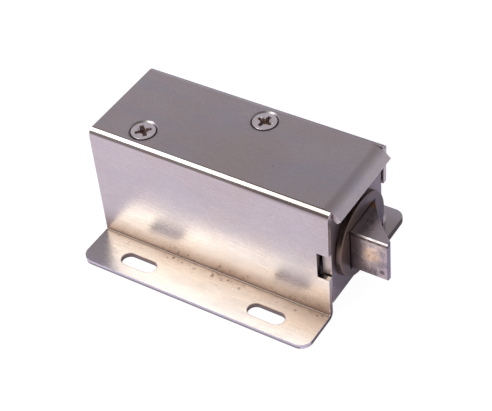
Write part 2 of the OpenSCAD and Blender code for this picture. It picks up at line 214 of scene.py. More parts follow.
# Where an edge is: the rounded normal leaves the true one
def makeRub():
    tree, given, out = newGroup("rubbedEdges", [("Width", "NodeSocketFloat", 0.0002),
                                                ("Vector", "NodeSocketVector", None)],
                                [("Mask", "NodeSocketFloat")])
    rounded = addNode(tree, "ShaderNodeBevel", {"Radius": given["Width"]}, samples=6).outputs[0]
    true = tree.nodes.new("ShaderNodeNewGeometry").outputs["True Normal"]
    edge = spread(tree, vectorCalc(tree, "DOT_PRODUCT", rounded, true), *groupRamps["edge"])
    broken = addNode(tree, "ShaderNodeTexNoise", {"Vector": given["Vector"], "Scale": 1.6, "Detail": 3.0})
    tree.links.new(times(tree, edge, spread(tree, broken.outputs[0], *groupRamps["brokenEdge"])), out["Mask"])
    return tree


# How far a point lies from the crease where a side wall turns out into its flange. All in mm
def makeCrease():
    tree, given, out = newGroup("flangeCrease", [("Vector", "NodeSocketVector", None),
                                                 ("Wall", "NodeSocketFloat", 11.65),
                                                 ("Flange", "NodeSocketFloat", 1.0)],
                                [("Away", "NodeSocketFloat"), ("OnWall", "NodeSocketFloat")])
    _, y, z = splitUp(tree, given["Vector"])
    sideways = calc(tree, "SUBTRACT", unsigned(tree, y), given["Wall"])
    upwards = calc(tree, "SUBTRACT", z, given["Flange"])
    tree.links.new(calc(tree, "MAXIMUM", sideways, upwards), out["Away"])
    tree.links.new(spread(tree, upwards, *groupRamps["upWall"]), out["OnWall"])
    return tree


# How far a point lies from the nearer cover screw's middle. All in mm
def fromScrews(tree, point, height):
    gaps = []
    for screw in ("rear_cover_screw", "front_cover_screw"):
        middle = sum(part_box(screw), Vector()) / 2 / mm
        gaps.append(vectorCalc(tree, "DISTANCE", point, (middle.x, middle.y, height)))
    return calc(tree, "MINIMUM", *gaps)


# Painted shade and dirt round the two cover screws, from a place in mm: a dark ring inside each countersink,
# moved aside so that one side of it stays lit, and a faint dark halo round it
def makeSinks():
    tree, given, out = newGroup("sinkShadeAndDirt", [("Vector", "NodeSocketVector", None),
                                             ("Reach", "NodeSocketFloat", 3.03),
                                             ("Aside", "NodeSocketVector", (0.13, -0.25, 0))],
                                [("Mask", "NodeSocketFloat")])
    waver = 0.14
    moved = vectorCalc(tree, "SUBTRACT", given["Vector"], given["Aside"])
    gap = fromScrews(tree, vectorCalc(tree, "MULTIPLY", moved, (1, 1, 0)), 0)
    soft = addNode(tree, "ShaderNodeTexNoise", {"Vector": given["Vector"], "Scale": 1.1, "Detail": 2.0})
    rim = calc(tree, "SUBTRACT", given["Reach"], times(tree, soft.outputs[0], waver))
    halo = spread(tree, gap, *groupRamps["halo"])
    tree.links.new(calc(tree, "MAXIMUM", below(tree, gap, rim), halo), out["Mask"])
    return tree


grain, specks, patches, turning, rub = makeGrain(), makeSpecks(), makePatches(), makeTurning(), makeRub()
crease, sinks = makeCrease(), makeSinks()


# The groups as the materials use them. Widths and spacings are in mm, and a speck's size is a share
# of its spacing
def grainAt(tree, place, stretch, fineness):
    return useGroup(tree, grain, {"Vector": place, "Stretch": stretch, "Fineness": fineness})["Value"]


def specksAt(tree, place, spacing, speck, share):
    values = {"Vector": place, "Spacing": spacing, "Size": speck, "Share": share}
    return useGroup(tree, specks, values)["Mask"]


def patchesAt(tree, place, width, edge):
    return useGroup(tree, patches, {"Vector": place, "Width": width, "Edge": edge})["Mask"]


def rubbedAt(tree, place, width):
    return useGroup(tree, rub, {"Vector": place, "Width": width * mm})["Mask"]


# A material with its shader and its place in mm, measured from centre
def newMaterial(name, centre=Vector((0, 0, 0))):
    made = bpy.data.materials.new(name)
    made.use_nodes = True
    tree = made.node_tree
    place = tree.nodes.new("ShaderNodeTexCoord").outputs["Object"]
    perMm = 1 / mm
    inMm = addNode(tree, "ShaderNodeMapping", {"Vector": place, "Scale": (perMm, perMm, perMm),
                                               "Location": tuple(-c * perMm for c in centre)})
    return made, tree, tree.nodes["Principled BSDF"], inMm.outputs[0]


def dress(tree, shader, base, rough, metal=0.0):
    for socket, value in (("Base Color", base), ("Roughness", rough), ("Metallic", metal)):
        feed(tree, shader.inputs[socket], value)


# A pattern's roughness: a little glossier than the look's where it is low, and duller where it is high
def roughen(tree, pattern, look, low=0.3, high=0.7, glossier=0.05, duller=0.1):
    return spread(tree, pattern, low, high, look["roughness"] - glossier, look["roughness"] + duller)


# The pattern's height shows as a relief of depth mm
def bumpUp(tree, shader, height, strength, depth, normal=None):
    bump = addNode(tree, "ShaderNodeBump", {"Height": height, "Strength": strength, "Distance": depth * mm})
    if normal:
        tree.links.new(normal, bump.inputs["Normal"])
    tree.links.new(bump.outputs[0], shader.inputs["Normal"])


# The folded cover: brushed nickel, with painted shade darker and browner low on its walls, and stains there
# too. Places and lengths are in mm
nickelLook = {
    "tone": tone(0.685, 0.64, 0.585), "cool": tone(0.58, 0.59, 0.60), "warm": tone(0.64, 0.55, 0.46),
    "pale": tone(0.68, 0.67, 0.68), "rubbed": tone(0.92, 0.88, 0.94), "scored": tone(0.45, 0.41, 0.4),
    "brownDark": tone(0.42, 0.335, 0.275), "creaseDark": tone(0.26, 0.185, 0.145), "fold": tone(0.19, 0.14, 0.11),
    "soil": tone(0.125, 0.085, 0.062), "speck": tone(0.09, 0.07, 0.06), "roughness": 0.25,
    "brushing": ((0.3, 2.4, 2.4), 1.0), "streaking": ((0.05, 0.2, 0.2), 1.0), "peeling": ((1, 1, 1), 2.2),
    "brushedHeight": 0.22, "peelHeight": 0.5, "bump": (0.25, 0.008), "rubbedWidth": 0.25,
    "broadPatches": (15.0, 0.16), "blotches": (2.4, 0.08),
    "grime": (1.1, 0.36, 0.4), "fineSpecks": (2.6, 0.04, 0.35), "coarseSpecks": (9.0, 0.025, 0.5),
    "warmReflectionPlace": (4, -6, 28), "frontEdge": coverLow.x / mm + 54.15, "shornBelow": 1.0,
    "flangeTop": 1.3, "flangeRim": 21.0, "insideX": 26.2, "insideY": 11.56, "insideZ": 26.8,
    "farNotch": (26.6, 10.3), "slotSpacing": (30.7, 34.2), "slotStraight": 4.9}

# How much of each mark's tone covers the plating where its mask is full
coverShares = {"warm": 0.55, "rubbed": 0.7, "shorn": 0.8, "specks": 0.6, "sunk": 0.9, "inside": 0.85}

# Ramps for the cover's marks: where each begins and ends, and its share there
coverRamps = {
    "onRoof": (26.8, 27.4), "atBend": (10.1, 10.4), "warmReflection": (13.0, 4.0, 0.0, 0.5),
    "bendDarkerForwards": (4.0, 16.0, 0.0, 0.55), "shadeForwards": (8.0, 27.0, 0.0, 0.35), "shadeLow": (9.0, 6.0),
    "shadeUpWall": (7.5, 0.5, 0.0, 0.95), "creaseShadeOnWall": (4.5, 0.5), "stained": (2.2, 0.3, 0.0, 0.6),
    "creaseShade": (1.1, 0.35, 0.0, 0.45), "grimy": (3.6, 0.8), "paleRim": (5.5, 9.0, 0.0, 0.6),
    "creaseLine": (0.42, 0.3), "slotEdge": (1.88, 1.72, 0.0, 0.85), "underRim": (0.62, 0.42, 0.0, 0.6),
    "farFoot": (7.4, 7.0, 0.0, 0.85), "bendLag": (-27.0, 27.0, 0.36, 0.51), "leaning": (10.15, 10.6)}

# The same for its patterns and masks: which of their values count, and what they give
patternRamps = {
    "cloudy": (0.5, 0.66), "coolOnRoof": (0, 1, 0.3, 0.6), "peeling": (0.42, 0.6),
    "peelOnRoof": (0, 1, 0.13, 0.14), "scored": (0.35, 0.7, 0.0, 0.22), "patchWaver": (0, 1, 3, -3),
    "ragged": (0.3, 0.7, -0.5, 0.5), "brokenFoot": (0.2, 0.8, 0.8, 1.0), "brokenGrime": (0.2, 0.6, 0.25, 0.9),
    "brushedDull": (0.3, 0.7, 0.0, 0.06), "cloudyDull": (0, 1, 0.0, 0.05), "bendGloss": (0, 1, 1.0, 0.5)}


# Where a point lies on the cover, and the patterns that its marks share
def readCover(tree, place):
    look = nickelLook
    x, y, z = splitUp(tree, place)
    corner = useGroup(tree, crease, {"Vector": place})
    on = {"place": place, "x": x, "y": y, "z": z, "side": unsigned(tree, y),
          "away": corner["Away"], "onWall": corner["OnWall"],
          "onFlange": below(tree, z, look["flangeTop"]), "onRoof": spread(tree, z, *coverRamps["onRoof"]),
          "brushed": grainAt(tree, place, *look["brushing"]),
          "peel": grainAt(tree, place, *look["peeling"]),
          "broad": patchesAt(tree, place, *look["broadPatches"]),
          "cloudy": spread(tree, grainAt(tree, place, *look["streaking"]), *patternRamps["cloudy"])}
    on["atBend"] = times(tree, on["onRoof"], spread(tree, on["side"], *coverRamps["atBend"]))
    return on


# The plating itself: warm and cool clouds, orange peel and brushing, and a painted warm reflection on the
# roof
def platingTone(tree, on):
    look, patterns = nickelLook, patternRamps
    # A painted warm reflection on the roof
    fromWarmReflection = calc(tree, "ADD", vectorCalc(tree, "DISTANCE", on["place"], look["warmReflectionPlace"]),
                     spread(tree, on["broad"], *patterns["patchWaver"]))
    cool = times(tree, on["cloudy"], spread(tree, on["onRoof"], *patterns["coolOnRoof"]))
    peeling = times(tree, spread(tree, on["peel"], *patterns["peeling"]),
                    spread(tree, on["onRoof"], *patterns["peelOnRoof"]))
    # The near bends made darker towards the front
    darkerBend = times(tree, spread(tree, on["x"], *coverRamps["bendDarkerForwards"]), on["atBend"])
    return layered(tree, look["tone"], [
        (times(tree, on["broad"], coverShares["warm"]), look["warm"]),
        (cool, look["cool"]),
        (spread(tree, fromWarmReflection, *coverRamps["warmReflection"]), look["warm"]),
        (peeling, look["brownDark"]),
        (darkerBend, look["fold"]),
        (spread(tree, on["brushed"], *patterns["scored"]), look["scored"])])


# Round the crease: painted shade above it and in front, stains, grime and a deeper painted shade close by,
# pale at the flange's rim, and a painted dark line along the crease.
# The darkest painted shade low on the wall is for camera rays alone, so that the flange mirrors a clean wall
def creaseTone(tree, on, base):
    look, ramps, patterns = nickelLook, coverRamps, patternRamps
    away = on["away"]
    # Painted shade: darker and browner low on the wall, and low towards the front
    shadeUpWall = times(tree, spread(tree, away, *ramps["shadeUpWall"]), on["onWall"])
    shadeFront = times(tree, spread(tree, on["x"], *ramps["shadeForwards"]),
                       spread(tree, away, *ramps["shadeLow"]))
    brownDark = calc(tree, "MINIMUM", calc(tree, "ADD", shadeUpWall, shadeFront), 1.0)
    # Painted shade close to the crease on the wall, seen by the camera alone
    seen = tree.nodes.new("ShaderNodeLightPath").outputs["Is Camera Ray"]
    ragged = calc(tree, "ADD", away, spread(tree, on["peel"], *patterns["ragged"]))
    creaseDark = times(tree, spread(tree, ragged, *ramps["creaseShadeOnWall"]), on["onWall"], seen,
                     spread(tree, on["broad"], *patterns["brokenFoot"]))
    blotches = patchesAt(tree, on["place"], *look["blotches"])
    # Painted shade right along the crease, and real stain blotches near it
    stained = calc(tree, "MAXIMUM", spread(tree, away, *ramps["creaseShade"]),
                   times(tree, spread(tree, away, *ramps["stained"]), blotches, on["broad"]))
    grimy = times(tree, specksAt(tree, on["place"], *look["grime"]), spread(tree, away, *ramps["grimy"]),
                  spread(tree, on["broad"], *patterns["brokenGrime"]))
    return layered(tree, base, [
        (brownDark, look["brownDark"]),
        (creaseDark, look["creaseDark"]),
        (stained, look["creaseDark"]),
        (grimy, look["soil"]),
        (times(tree, spread(tree, away, *ramps["paleRim"]), on["onFlange"]), look["pale"]),
        # A painted dark line of shade along the crease
        (spread(tree, away, *ramps["creaseLine"]), look["fold"])])


# How far a point on a flange lies from the middle line of its nearest slot
def fromSlots(tree, on):
    spacingX, spacingY = nickelLook["slotSpacing"]
    along = unsigned(tree, calc(tree, "SUBTRACT", unsigned(tree, on["x"]), spacingX / 2))
    along = calc(tree, "MAXIMUM", calc(tree, "SUBTRACT", along, nickelLook["slotStraight"] / 2), 0.0)
    across = calc(tree, "SUBTRACT", on["side"], spacingY / 2)
    gap = addNode(tree, "ShaderNodeCombineXYZ", {"X": along, "Y": across}).outputs[0]
    return vectorCalc(tree, "LENGTH", gap)


# Rubbed edges, specks, and painted shade: on the flanges' front and outer edges, round the slots, low on the
# far wall's front edge, in the countersinks together with dirt, and inside
def coverEdgeTone(tree, on, base):
    look, ramps, shares = nickelLook, coverRamps, coverShares
    x, side, z, place = on["x"], on["side"], on["z"], on["place"]
    worn = rubbedAt(tree, place, look["rubbedWidth"])
    # Painted shade on the flanges' front edge faces
    shorn = times(tree, above(tree, x, look["frontEdge"]), below(tree, z, look["shornBelow"]))
    # Painted shade round the slots, on their inner walls and rims
    slotEdge = times(tree, spread(tree, fromSlots(tree, on), *ramps["slotEdge"]), on["onFlange"])
    # Painted shade along the foot of the flanges' outer edges
    underRim = times(tree, above(tree, side, look["flangeRim"]), spread(tree, z, *ramps["underRim"]))
    # Painted shade low on the far wall's front edge, by its notch
    notchX, notchY = look["farNotch"]
    farFoot = times(tree, above(tree, x, notchX), above(tree, on["y"], notchY),
                    spread(tree, z, *ramps["farFoot"]))
    dots = calc(tree, "MAXIMUM", specksAt(tree, place, *look["fineSpecks"]),
                specksAt(tree, place, *look["coarseSpecks"]))
    # Painted shade and dirt in the countersinks
    sunk = useGroup(tree, sinks, {"Vector": place})["Mask"]
    # Painted shade over the cover's inside
    inside = times(tree, below(tree, side, look["insideY"]), below(tree, z, look["insideZ"]),
                   below(tree, unsigned(tree, x), look["insideX"]))
    return layered(tree, base, [
        (times(tree, worn, shares["rubbed"]), look["rubbed"]),
        (times(tree, shorn, shares["shorn"]), look["speck"]),
        (slotEdge, look["fold"]),
        (underRim, look["speck"]),
        (farFoot, look["speck"]),
        (times(tree, dots, shares["specks"]), look["speck"]),
        (times(tree, sunk, shares["sunk"]), look["speck"]),
        (times(tree, inside, shares["inside"]), look["speck"])])


# The top bends turn slowly out of the walls and fast into the roof, so their normal leans outwards
def leanBends(tree, on):
    lag = spread(tree, on["x"], *coverRamps["bendLag"])
    outwards = times(tree, calc(tree, "SIGN", on["y"]), on["onRoof"], lag,
                     spread(tree, on["side"], *coverRamps["leaning"]))
    lean = addNode(tree, "ShaderNodeCombineXYZ", {"Y": outwards}).outputs[0]
    normal = tree.nodes.new("ShaderNodeNewGeometry").outputs["Normal"]
    return vectorCalc(tree, "NORMALIZE", vectorCalc(tree, "ADD", normal, lean))


def makeNickelSheet():
    made, tree, shader, place = newMaterial("nickelSheet")
    look, patterns = nickelLook, patternRamps
    on = readCover(tree, place)
    base = coverEdgeTone(tree, on, creaseTone(tree, on, platingTone(tree, on)))
    rough = calc(tree, "ADD", spread(tree, on["brushed"], *patterns["brushedDull"]),
                 spread(tree, on["cloudy"], *patterns["cloudyDull"]))
    rough = times(tree, calc(tree, "ADD", rough, look["roughness"]),
                  spread(tree, on["atBend"], *patterns["bendGloss"]))
    dress(tree, shader, base, rough, 1.0)
    height = calc(tree, "ADD", times(tree, on["brushed"], look["brushedHeight"]),
                  times(tree, on["peel"], look["peelHeight"]))
    bumpUp(tree, shader, height, *look["bump"], leanBends(tree, on))
    return made


# Metals that differ only in tone, gloss and the marks that making them left
metalLooks = {
    "yokeIron": {"tone": tone(0.35, 0.31, 0.32), "tarnish": tone(0.25, 0.21, 0.205), "roughness": 0.36,
                 "stretch": (0.3, 1.6, 1.6), "fineness": 1.3, "patch": 6.0, "bump": 0.015},
    "terminalTin": {"tone": tone(0.74, 0.70, 0.60), "tarnish": tone(0.52, 0.44, 0.30), "roughness": 0.3,
                    "stretch": (1, 1, 1), "fineness": 4.0, "patch": 0.8, "bump": 0.01},
    "pinSteel": {"tone": tone(0.66, 0.65, 0.65), "tarnish": tone(0.5, 0.48, 0.46), "roughness": 0.24,
                 "stretch": (1, 6, 1), "fineness": 1.5, "patch": 2.0, "bump": 0.008},
    "springWire": {"tone": tone(0.60, 0.60, 0.62), "tarnish": tone(0.36, 0.33, 0.31), "roughness": 0.26,
                   "stretch": (1, 1, 1), "fineness": 3.0, "patch": 1.5, "bump": 0.008},
    "screwSteel": {"tone": tone(0.68, 0.67, 0.64), "tarnish": tone(0.55, 0.5, 0.4), "roughness": 0.27,
                   "stretch": (1, 1, 1), "fineness": 2.0, "patch": 2.2, "bump": 0.01},
}
metalWear = {"rubbed": tone(0.78, 0.75, 0.74), "rubbedWidth": 0.18, "rubbedShare": 0.45,
             "tarnishEdge": 0.18, "tarnishShare": 0.6, "dot": tone(0.1, 0.08, 0.06),
             "dots": (1.4, 0.08, 0.3), "dotShare": 0.6, "bumpStrength": 0.4}

# The iron yoke's own marks: a dark ring round the bush, painted shade of the bush together with grime, and
# side faces painted lighter and warmer up to shornTop as a painted reflection
yokeMarks = {"shorn": tone(0.53, 0.465, 0.41), "grime": tone(0.10, 0.085, 0.085), "edgeDepth": 0.04,
             "ringWidth": (3.4, 2.3), "ringShare": (13.2, 9.3, 0.2, 0.45), "shornTop": (17.4, 17.9)}


def markYoke(tree, place, base):
    marks = yokeMarks
    x, y, z = splitUp(tree, place)
    fromAxis = vectorCalc(tree, "SUBTRACT", place, tuple(boltAxis / mm))
    fromAxis = vectorCalc(tree, "LENGTH", vectorCalc(tree, "MULTIPLY", fromAxis, (0, 1, 1)))
    outer, inner = (bushRadius + width for width in marks["ringWidth"])
    # A dark ring round the bush: painted shade of the bush, and grime
    ring = times(tree, spread(tree, fromAxis, outer, inner), above(tree, x, bushLow.x / mm),
                 spread(tree, z, *marks["ringShare"]))
    # Side faces painted lighter and warmer below shornTop: a painted reflection of the lit cover
    atEdge = above(tree, unsigned(tree, y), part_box("yoke_frame")[1].y / mm - marks["edgeDepth"])
    top = spread(tree, z, *marks["shornTop"])
    edgeTone = blendTone(tree, top, marks["shorn"], metalLooks["yokeIron"]["tone"])
    return layered(tree, base, [(ring, marks["grime"]), (atEdge, edgeTone)])


def makeMetal(name):
    look, wear = metalLooks[name], metalWear
    made, tree, shader, place = newMaterial(name)
    drawn = grainAt(tree, place, look["stretch"], look["fineness"])
    cloudy = patchesAt(tree, place, look["patch"], wear["tarnishEdge"])
    base = blendTone(tree, times(tree, cloudy, wear["tarnishShare"]), look["tone"], look["tarnish"])
    if name == "yokeIron":
        base = markYoke(tree, place, base)
    base = layered(tree, base, [
        (times(tree, rubbedAt(tree, place, wear["rubbedWidth"]), wear["rubbedShare"]), wear["rubbed"]),
        (times(tree, specksAt(tree, place, *wear["dots"]), wear["dotShare"]), wear["dot"])])
    dress(tree, shader, base, roughen(tree, drawn, look, glossier=0.04, duller=0.08), 1.0)
    bumpUp(tree, shader, drawn, wear["bumpStrength"], look["bump"])
    return made


# The cover screws: bright frosted heads, with brown dirt and painted shade below the top face, in the recess
# and on the rim down in the countersink, and dirt smeared round the recess
coverScrewLook = {"tone": tone(0.76, 0.70, 0.70), "tarnish": tone(0.50, 0.42, 0.38), "tarnishShare": 0.4,
                  "dirt": tone(0.13, 0.068, 0.05), "roughness": 0.3, "dirtyRoughness": 0.6, "metal": 0.6,
                  "dirtyMetal": 0.1, "topOfShadeAndDirt": (0.08, 0.18), "shadeAndDirtBreaks": (0.62, 0.58, 0.25, 1.0),
                  "smear": (1.5, 0.9, 0.0, 0.75), "smearBreaks": (0.5, 0.56), "clouds": (1.6, 0.15),
                  "skin": ((1, 1, 1), 2.2), "bump": (0.35, 0.01)}


def makeCoverScrew():
    made, tree, shader, place = newMaterial("coverScrew")
    look = coverScrewLook
    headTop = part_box("rear_cover_screw")[1].z / mm
    cloudy = patchesAt(tree, place, *look["clouds"])
    skin = grainAt(tree, place, *look["skin"])
    # Painted shade and dirt below the head's top face: in the recess and on the rim down in the countersink
    deep = spread(tree, calc(tree, "SUBTRACT", headTop, splitUp(tree, place)[2]), *look["topOfShadeAndDirt"])
    smeared = times(tree, spread(tree, fromScrews(tree, place, headTop), *look["smear"]),
                    spread(tree, skin, *look["smearBreaks"]))
    base = layered(tree, look["tone"], [
        (times(tree, cloudy, look["tarnishShare"]), look["tarnish"]),
        (smeared, look["dirt"]),
        (times(tree, deep, spread(tree, skin, *look["shadeAndDirtBreaks"])), look["dirt"])])
    dress(tree, shader, base, spread(tree, deep, 0, 1, look["roughness"], look["dirtyRoughness"]),
          spread(tree, deep, 0, 1, look["metal"], look["dirtyMetal"]))
    bumpUp(tree, shader, skin, *look["bump"])
    return made


# Metals turned on a lathe about the bolt's axis
turnedLooks = {
    "coreSteel": {"tone": tone(0.55, 0.54, 0.54), "rim": tone(0.6, 0.58, 0.56), "roughness": 0.26,
                  "pitch": 0.2, "bump": 0.012},
    "tubeBrass": {"tone": tone(0.70, 0.52, 0.25), "rim": tone(0.58, 0.40, 0.18), "roughness": 0.25,
                  "pitch": 0.25, "bump": 0.01},
}
turnedWear = {"clouds": (3.5, 0.2), "cloudShare": 0.5, "rimWidth": 0.4, "rimShare": 0.9, "bumpStrength": 0.5}
turnedHeights = (0.0, 1.2)  # the lowest and highest of the turning marks


def makeTurned(name):
    look, wear = turnedLooks[name], turnedWear
    made, tree, shader, place = newMaterial(name, boltAxis)
    marks = useGroup(tree, turning, {"Vector": place, "Pitch": look["pitch"]})
    cloudy = patchesAt(tree, place, *wear["clouds"])
    worn = rubbedAt(tree, place, wear["rimWidth"])
    base = layered(tree, look["tone"], [(times(tree, cloudy, wear["cloudShare"]), look["rim"]),
                                        (times(tree, worn, wear["rimShare"]), look["rim"])])
    dress(tree, shader, base, roughen(tree, marks["Height"], look, *turnedHeights), 1.0)
    bumpUp(tree, shader, marks["Height"], wear["bumpStrength"], look["bump"])
    return made


# The bush: dark, with a painted brown reflection of the cover on its near side, darker low down, brown
# clouds, and bronze at its rim.
# Places are in mm from the bolt's axis, and depths in mm from the rim or from the front face
bushLook = {"tone": tone(0.095, 0.088, 0.102), "brown": tone(0.29, 0.21, 0.15),
            "lowBrown": tone(0.13, 0.098, 0.088), "bronze": tone(0.22, 0.155, 0.11),
            "dark": tone(0.09, 0.07, 0.06), "roughness": 0.36, "pitch": 0.35,
            "nearSide": (1.0, -6.0), "brownRise": (-5.0, 3.0),
            "clouds": (2.6, 0.14), "cloudShare": 0.3, "bump": (0.4, 0.015),
            "rimDepth": (0.4, 0.1), "sideDepth": (0.03, 0.005), "behindFace": (0.15, 0.35),
            "streaking": ((4, 0.4, 0.4), 0.7), "rimBreaks": (0.38, 0.6), "darkStreaks": (0.56, 0.46)}


def makeBushFace():
    made, tree, shader, place = newMaterial("bushFace", boltAxis)
    look = bushLook
    marks = useGroup(tree, turning, {"Vector": place, "Pitch": look["pitch"]})
    cloudy = patchesAt(tree, place, *look["clouds"])
    streaks = grainAt(tree, place, *look["streaking"])
    x, y, z = splitUp(tree, place)
    fromRim = calc(tree, "SUBTRACT", bushRadius, marks["Radius"])
    fromFace = calc(tree, "SUBTRACT", bushHigh.x / mm, x)
    atRim = times(tree, spread(tree, fromRim, *look["rimDepth"]), spread(tree, streaks, *look["rimBreaks"]))
    onSide = times(tree, spread(tree, fromRim, *look["sideDepth"]),
                   spread(tree, fromFace, *look["behindFace"]))
    # A painted brown reflection of the cover on the near side, darker low down, with brown clouds
    brown = blendTone(tree, spread(tree, z, *look["brownRise"]), look["lowBrown"], look["brown"])
    browned = calc(tree, "MAXIMUM", spread(tree, y, *look["nearSide"]),
                   times(tree, cloudy, look["cloudShare"]))
    base = layered(tree, look["tone"], [
        (browned, brown),
        (atRim, look["bronze"]),
        (onSide, look["bronze"]),
        (times(tree, onSide, spread(tree, streaks, *look["darkStreaks"])), look["dark"])])
    dress(tree, shader, base, roughen(tree, marks["Height"], look, *turnedHeights), 1.0)
    bumpUp(tree, shader, marks["Height"], *look["bump"])
    return made


# The bolt: a stained casting, with painted shade at its root, a painted tan reflection on its near face, its
# top face painted lighter, its tip painted dark, a painted orange reflection spot and a painted dark line
# under its near top edge. In mm from the bolt's axis
boltLook = {"tone": tone(0.42, 0.37, 0.35), "light": tone(0.70, 0.59, 0.53), "tan": tone(0.70, 0.535, 0.39),
            "root": tone(0.165, 0.135, 0.135), "rootTop": tone(0.50, 0.43, 0.42),
            "top": tone(0.70, 0.635, 0.60), "tip": tone(0.24, 0.22, 0.27), "spot": tone(0.62, 0.36, 0.17),
            "speck": tone(0.07, 0.05, 0.04), "rubbed": tone(0.82, 0.77, 0.74), "roughness": 0.3,
            "tanPlace": (32.3, -4.85, 0.6), "dimplePlace": (34.9, -4.85, -3.0), "spotPlace": (28.9, 3.8, 4.6),
            "grain": ((0.8, 1.3, 1.3), 0.8), "stains": ((1.6, 1, 0.5), 1.1), "mottles": (1.3, 0.08),
            "dots": (1.3, 0.09, 0.35), "wobble": 3.0, "rubbedWidth": 0.35, "bump": (0.5, 0.03)}

# How much of each mark's tone covers the metal where its mask is full
boltShares = {"light": 0.7, "rubbed": 0.35, "dots": 0.7, "dimple": 0.7}

# Ramps for the bolt's marks: where each begins and ends, and its share there. The last three read patterns
boltRamps = {"root": (32.2, 30.2), "tan": (2.6, 0.9), "dimple": (0.7, 0.4), "spot": (1.1, 0.6),
             "low": (-1.8, -3.6), "lowRoot": (34.4, 33.2), "lowTip": (33.6, 34.6, 0.0, 0.55),
             "onTop": (4.75, 4.84), "tip": (35.95, 36.05, 0.0, 0.85), "lineFoot": (3.95, 4.1),
             "lineHead": (4.65, 4.55), "stained": (0.54, 0.64, 0.0, 0.4),
             "lowStained": (0.42, 0.54, 0.55, 0.9), "brokenLine": (0.2, 0.6, 0.6, 0.95)}


def makeBoltMetal():
    made, tree, shader, place = newMaterial("boltMetal", boltAxis)
    look, ramps, shares = boltLook, boltRamps, boltShares
    drawn = grainAt(tree, place, *look["grain"])
    stains = grainAt(tree, place, *look["stains"])
    mottled = patchesAt(tree, place, *look["mottles"])
    worn = rubbedAt(tree, place, look["rubbedWidth"])
    x, _, z = splitUp(tree, place)
    wobble = times(tree, calc(tree, "SUBTRACT", drawn, 0.5), look["wobble"])
    # A painted tan reflection of the cover on the near face
    fromTan = calc(tree, "ADD", vectorCalc(tree, "DISTANCE", place, look["tanPlace"]), wobble)
    # Painted shade at the root, where the bolt comes out of the bush
    root = spread(tree, calc(tree, "ADD", x, wobble), *ramps["root"])
    dimple = spread(tree, vectorCalc(tree, "DISTANCE", place, look["dimplePlace"]), *ramps["dimple"])
    # A painted orange reflection spot at the root's far top corner
    spot = spread(tree, vectorCalc(tree, "DISTANCE", place, look["spotPlace"]), *ramps["spot"])
    low = spread(tree, z, *ramps["low"])
    lowRoot = times(tree, low, spread(tree, x, *ramps["lowRoot"]), spread(tree, stains, *ramps["lowStained"]))
    # The top face painted lighter than the sides, for how light falls on it
    onTop = spread(tree, z, *ramps["onTop"])
    # A painted dark reflection line under the near top edge's highlight
    line = times(tree, spread(tree, z, *ramps["lineFoot"]), spread(tree, z, *ramps["lineHead"]),
                 spread(tree, mottled, *ramps["brokenLine"]))
    base = layered(tree, look["tone"], [
        (times(tree, mottled, shares["light"]), look["light"]),
        (spread(tree, fromTan, *ramps["tan"]), look["tan"]),
        (times(tree, worn, shares["rubbed"]), look["rubbed"]),
        (lowRoot, look["root"]),
        (spread(tree, stains, *ramps["stained"]), look["root"]),
        (times(tree, low, spread(tree, x, *ramps["lowTip"])), look["light"]),
        (onTop, look["top"]),
        (root, blendTone(tree, onTop, look["root"], look["rootTop"])),
        # The tip's end face painted dark, as painted shade
        (spread(tree, x, *ramps["tip"]), look["tip"]),
        (spot, look["spot"]),
        (line, look["speck"]),
        (times(tree, specksAt(tree, place, *look["dots"]), shares["dots"]), look["speck"]),
        (times(tree, dimple, shares["dimple"]), look["speck"])])
    dress(tree, shader, base, roughen(tree, drawn, look, glossier=0.06), 1.0)
    bumpUp(tree, shader, calc(tree, "SUBTRACT", drawn, dimple), *look["bump"])
    return made


# Enamelled wire lies in turns along the axis, and shows as fine ridges with painted shade between the turns
windingLook = {"wire": 0.35, "tone": tone(0.55, 0.22, 0.09), "dark": tone(0.3, 0.1, 0.04), "roughness": 0.28,
               "metal": 0.85, "coat": 0.5, "bump": (0.8, 0.12), "clouds": (4.0, 0.2), "cloudShare": 0.3,
               "between": (0.6, 0.1)}


def makeWinding():
    made, tree, shader, place = newMaterial("enamelledCopper", boltAxis)
    look = windingLook
    along = splitUp(tree, place)[0]
    ridge = unsigned(tree, calc(tree, "SINE", times(tree, along, math.pi / look["wire"])))
    cloudy = patchesAt(tree, place, *look["clouds"])
    # Painted shade between the turns, and dark clouds
    base = layered(tree, look["tone"], [(spread(tree, ridge, *look["between"]), look["dark"]),
                                        (times(tree, cloudy, look["cloudShare"]), look["dark"])])
    dress(tree, shader, base, roughen(tree, cloudy, look, 0, 1, glossier=0), look["metal"])
    shader.inputs["Coat Weight"].default_value = look["coat"]
    bumpUp(tree, shader, ridge, *look["bump"])
    return made


# Tape, plastic and rubber
plasticLooks = {
    "wrapTape": {"tone": tone(0.74, 0.50, 0.06), "dirt": tone(0.48, 0.30, 0.05), "roughness": 0.3,
                 "stretch": (1.2, 0.3, 0.3), "fineness": 1.5, "bump": 0.03, "coat": 0.4},
    "bobbinNylon": {"tone": tone(0.028, 0.028, 0.03), "dirt": tone(0.075, 0.07, 0.065), "roughness": 0.46,
                    "stretch": (1, 1, 1), "fineness": 4.0, "bump": 0.02, "coat": 0.0},
    "shimPlastic": {"tone": tone(0.82, 0.80, 0.72), "dirt": tone(0.6, 0.56, 0.46), "roughness": 0.4,
                    "stretch": (1, 1, 1), "fineness": 3.0, "bump": 0.01, "coat": 0.0},
    "damperRubber": {"tone": tone(0.022, 0.022, 0.022), "dirt": tone(0.06, 0.055, 0.05), "roughness": 0.62,
                     "stretch": (1, 1, 1), "fineness": 6.0, "bump": 0.03, "coat": 0.0},
}
plasticWear = {"dust": (3.0, 0.16), "dustShare": 0.45, "bumpStrength": 0.4}


